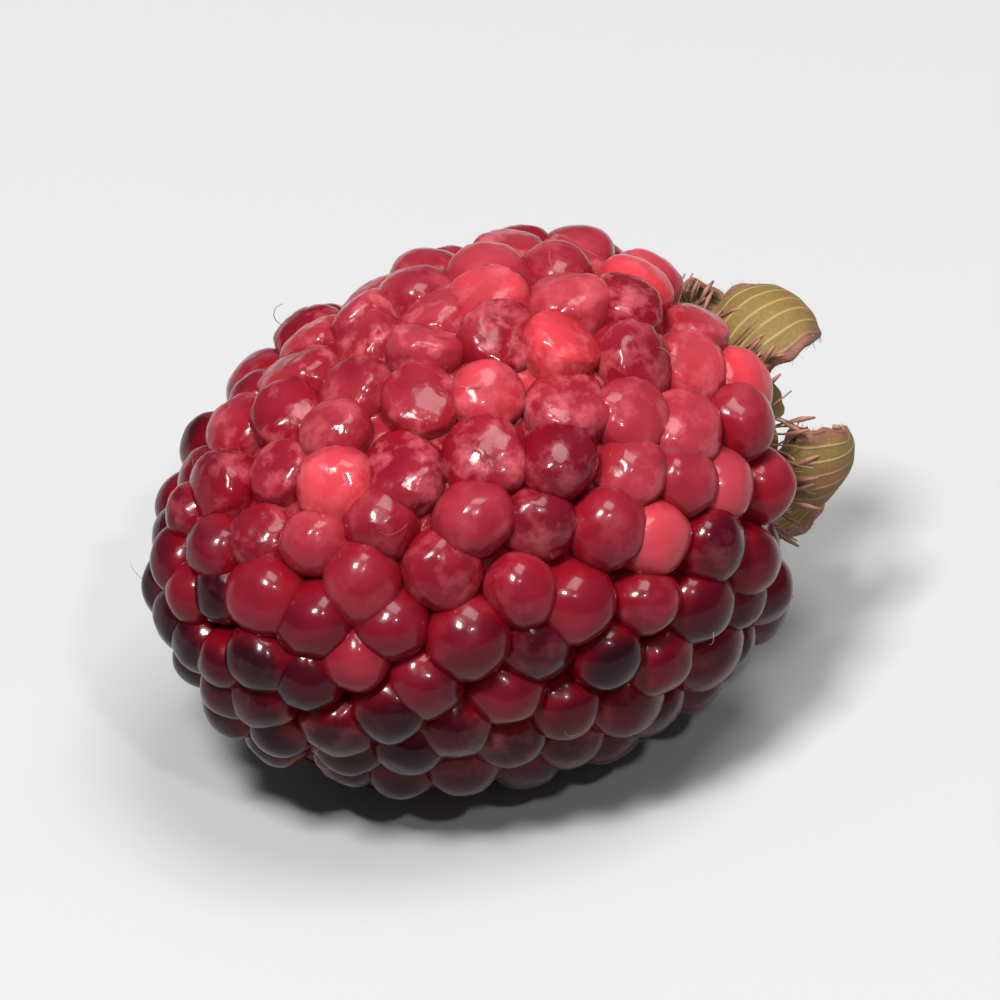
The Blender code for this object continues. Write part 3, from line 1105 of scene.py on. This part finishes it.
def make_stalk_finish():
    material, tree, shader = new_material("stalk_rind")
    place = object_place(tree)
    felt = use_group(tree, felt_group, place, Fineness=3600.0)
    dry = use_group(tree, withered_group, place, Spread=0.48)
    parts = tree.nodes.new("ShaderNodeSeparateXYZ")
    tree.links.new(place, parts.inputs[0])
    torn_from = fruit_middle.x + RIM_AT + CUP_THICKNESS + TORN_FROM * STALK_LENGTH
    torn = math_node(tree, "SUBTRACT", parts.outputs[0], torn_from)
    torn = math_node(tree, "MULTIPLY", torn, TORN_SHARPNESS)
    torn = ramp_node(tree, torn, [(0.0, BLACK), (1.0, WHITE)])
    color = mix_color(tree, dry.outputs["Mask"], (0.160, 0.125, 0.032), (0.160, 0.075, 0.035))
    color = mix_color(tree, torn, color, DRIED)
    tree.links.new(color, shader.inputs["Base Color"])
    set_inputs(shader, {"Roughness": 0.7, "Specular IOR Level": 0.3})
    add_bump(tree, shader, felt.outputs["Height"], 0.6, FELT_HEIGHT)
    return material


def make_stalk():
    start = RIM_AT + CUP_THICKNESS + 0.00005
    end = RIM_AT + CUP_THICKNESS + GAP + STALK_LENGTH
    bm = spin_profile([
        (0.0, start),
        (1.05 * STALK_RADIUS, start),
        (0.92 * STALK_RADIUS, start + 0.20 * STALK_LENGTH),
        (0.84 * STALK_RADIUS, start + 0.55 * STALK_LENGTH),
        (0.88 * STALK_RADIUS, end - 0.16 * STALK_LENGTH),
        (0.80 * STALK_RADIUS, end - 0.02 * STALK_LENGTH),
        (0.45 * STALK_RADIUS, end - 0.10 * STALK_LENGTH),
        (0.0, end - 0.16 * STALK_LENGTH),
    ], 24)
    for vert in bm.verts:
        turn = math.atan2(vert.co.y, vert.co.x)
        ribbed = 1 + 0.05 * math.cos(STALK_RIBS * turn)
        vert.co.x *= ribbed
        vert.co.y *= ribbed
        if vert.co.z > end - 0.2 * STALK_LENGTH:
            vert.co.z += TORN_HEIGHT * noise.noise(vert.co * 2600)
    finish_piece("stalk", bm, make_stalk_finish(), "stalk_stub", levels=2)


make_stalk()

# %% [markdown]
# ## Threads: stamens, dried styles and felt
# A bramble flower leaves its stamens behind: a fringe of dry threads, some with a shrivelled
# anther. Here and there a drupelet still has its hair-like style, and short felt stands on the
# sepals' edges. All of them are thin tapered tubes. One is drawn by pushing the end face of a small
# disc onward again and again, turning it a little each time; copies of it are then put in place.

# %% One thread
THREAD_TAPER = 0.55       # how much thinner a thread gets over its length
KNOB_END = 0.4


def thread_mesh(length, radius, curl, sides=4, steps=5, knob=0.0):
    """A tapered tube from the origin along +Z that curls towards +X and may end in a knob."""
    bm = bmesh.new()
    bmesh.ops.create_circle(bm, cap_ends=True, segments=sides, radius=radius)
    end = bm.faces[:]
    step_length = length / steps
    for step in range(1, steps + 1):
        pushed = bmesh.ops.extrude_face_region(bm, geom=end)
        verts = [item for item in pushed["geom"] if isinstance(item, bmesh.types.BMVert)]
        end = [item for item in pushed["geom"] if isinstance(item, bmesh.types.BMFace)]
        lean = curl * step / steps
        before = sum((vert.co for vert in verts), Vector()) / len(verts)
        shift = step_length * Vector((math.sin(lean), 0, math.cos(lean)))
        bmesh.ops.translate(bm, verts=verts, vec=shift)
        bmesh.ops.rotate(bm, verts=verts, cent=before + shift,
                         matrix=Matrix.Rotation(curl / steps, 3, "Y"))
        thinner = 1 - THREAD_TAPER / steps
        if knob and step == steps:
            thinner = KNOB_END
        elif knob and step == steps - 1:
            thinner = knob
        for vert in verts:
            vert.co = before + shift + (vert.co - before - shift) * thinner
    bmesh.ops.recalc_face_normals(bm, faces=bm.faces)
    return finished_mesh(bm, "thread")


# %% Copies of a thread and their finish
def add_thread(bm, mesh, place):
    """Put a copy of a thread into a bmesh at place."""
    old = set(bm.verts)
    bm.from_mesh(mesh)
    bmesh.ops.transform(bm, matrix=place, verts=[vert for vert in bm.verts if vert not in old])


def make_thread_finish(name, young, old, roughness):
    material, tree, shader = new_material(name)
    place = object_place(tree)
    dry = use_group(tree, withered_group, place, Spread=0.5)
    tree.links.new(mix_color(tree, dry.outputs["Mask"], young, old), shader.inputs["Base Color"])
    shader.inputs["Roughness"].default_value = roughness
    return material


# %% Stamens
STAMENS = 150
STAMEN_LENGTH = 0.0026
STAMEN_RADIUS = 0.00006
STAMEN_KINDS = ((25, 0.0), (60, 2.6), (-30, 2.4), (90, 0.0), (40, 2.8))    # curl in degrees and knob
STAMEN_LEAN = (66, 84)
STAMEN_RING_RADIUS = 0.0038
STAMEN_RING_AT = SEAT_AT + 0.00066
# The ring's outline: how far its corners lie out from its radius and back along the axis.
STAMEN_RING_OUTLINE = (
    (-0.00030, -0.00012), (0.0, -0.00025), (0.00028, 0.0),
    (0.0, 0.00025), (-0.00030, 0.00012), (-0.00030, -0.00012),
)


def make_stamens():
    """The fringe of threads and the low ring that they stand on."""
    chance = random.Random(41)
    bm = bmesh.new()
    kinds = [
        thread_mesh(STAMEN_LENGTH, STAMEN_RADIUS, math.radians(curl), knob=knob)
        for curl, knob in STAMEN_KINDS
    ]
    for number in range(STAMENS):
        turn = math.tau * (number + chance.uniform(-0.4, 0.4)) / STAMENS
        lean = math.radians(chance.uniform(*STAMEN_LEAN))
        size = chance.uniform(0.75, 1.2)
        place = (Matrix.Rotation(turn, 4, "Z")
                 @ Matrix.Translation((STAMEN_RING_RADIUS - 0.0001, 0, STAMEN_RING_AT))
                 @ Matrix.Rotation(lean, 4, "Y") @ Matrix.Rotation(chance.uniform(-0.6, 0.6), 4, "X")
                 @ Matrix.Rotation(chance.uniform(2.2, 4.0), 4, "Z") @ Matrix.Scale(size, 4))
        add_thread(bm, chance.choice(kinds), place)
    ring = spin_profile([
        (STAMEN_RING_RADIUS + out, STAMEN_RING_AT + back) for out, back in STAMEN_RING_OUTLINE
    ], 60)
    add_thread(bm, finished_mesh(ring, "ring"), Matrix.Identity(4))
    finish = make_thread_finish("stamen_dry", (0.210, 0.085, 0.055), (0.300, 0.150, 0.110), 0.7)
    finish_piece("stamens", bm, finish, "stamen_ring")


make_stamens()

# %% Dried styles on some drupelets
STYLE_SHARE = 0.10        # of the drupelets that don't face down
STYLE_LENGTH = 0.0022
STYLE_RADIUS = 0.00003
STYLE_CURLS = (70, 120, 160)
FACES_DOWN = -0.4


def make_styles():
    chance = random.Random(53)
    bm = bmesh.new()
    kinds = [
        thread_mesh(STYLE_LENGTH, STYLE_RADIUS, math.radians(curl), steps=8) for curl in STYLE_CURLS
    ]
    upright = laid_down.inverted()
    count = 0
    for drupelet in plan:
        if chance.random() > STYLE_SHARE or drupelet["out"].z < FACES_DOWN:
            continue
        top = 0.93 - 0.30 * drupelet["worn"]
        place = (upright @ drupelet["place"] @ Matrix.Rotation(chance.uniform(0.2, 0.6), 4, "Y")
                 @ Matrix.Translation((0, 0, top * drupelet["radius"]))
                 @ Matrix.Rotation(0.5, 4, "Y") @ Matrix.Rotation(chance.uniform(0, math.tau), 4, "Z")
                 @ Matrix.Scale(chance.uniform(0.4, 0.75), 4))
        add_thread(bm, chance.choice(kinds), place)
        count += 1
    finish = make_thread_finish("style_dry", (0.160, 0.050, 0.035), (0.280, 0.150, 0.100), 0.6)
    print(count, "dried styles")
    finish_piece("dried_styles", bm, finish)


make_styles()

# %% Felt on the sepals' edges
FELT_ON_BLADE = 130
FELT_LENGTH = 0.00034
FELT_RADIUS = 0.000011
FELT_CURLS = (20, 60)


def make_felt_hairs():
    chance = random.Random(67)
    bm = bmesh.new()
    kinds = [
        thread_mesh(FELT_LENGTH, FELT_RADIUS, math.radians(curl), sides=3, steps=2)
        for curl in FELT_CURLS
    ]
    for number, sepal in enumerate(SEPALS.values()):
        seed = blade_seed(number)
        for _ in range(FELT_ON_BLADE):
            edge = chance.choice((-1, 1))
            side = edge * (1 - 0.5 * chance.random() ** 3)
            share = chance.uniform(0.04, 0.97)
            here = blade_point(sepal, side, share, seed)
            outward = here - blade_point(sepal, side - 0.3 * edge, share, seed)
            drift = Vector([chance.gauss(0, 0.5) for _ in range(3)])
            facing = (outward.normalized() + drift).to_track_quat("Z", "Y").to_matrix().to_4x4()
            place = Matrix.Translation(here) @ facing @ Matrix.Scale(chance.uniform(0.5, 1.1), 4)
            add_thread(bm, chance.choice(kinds), place)
    finish = make_thread_finish("felt_hair", (0.380, 0.290, 0.190), (0.280, 0.160, 0.110), 0.8)
    finish_piece("felt_hairs", bm, finish)


make_felt_hairs()
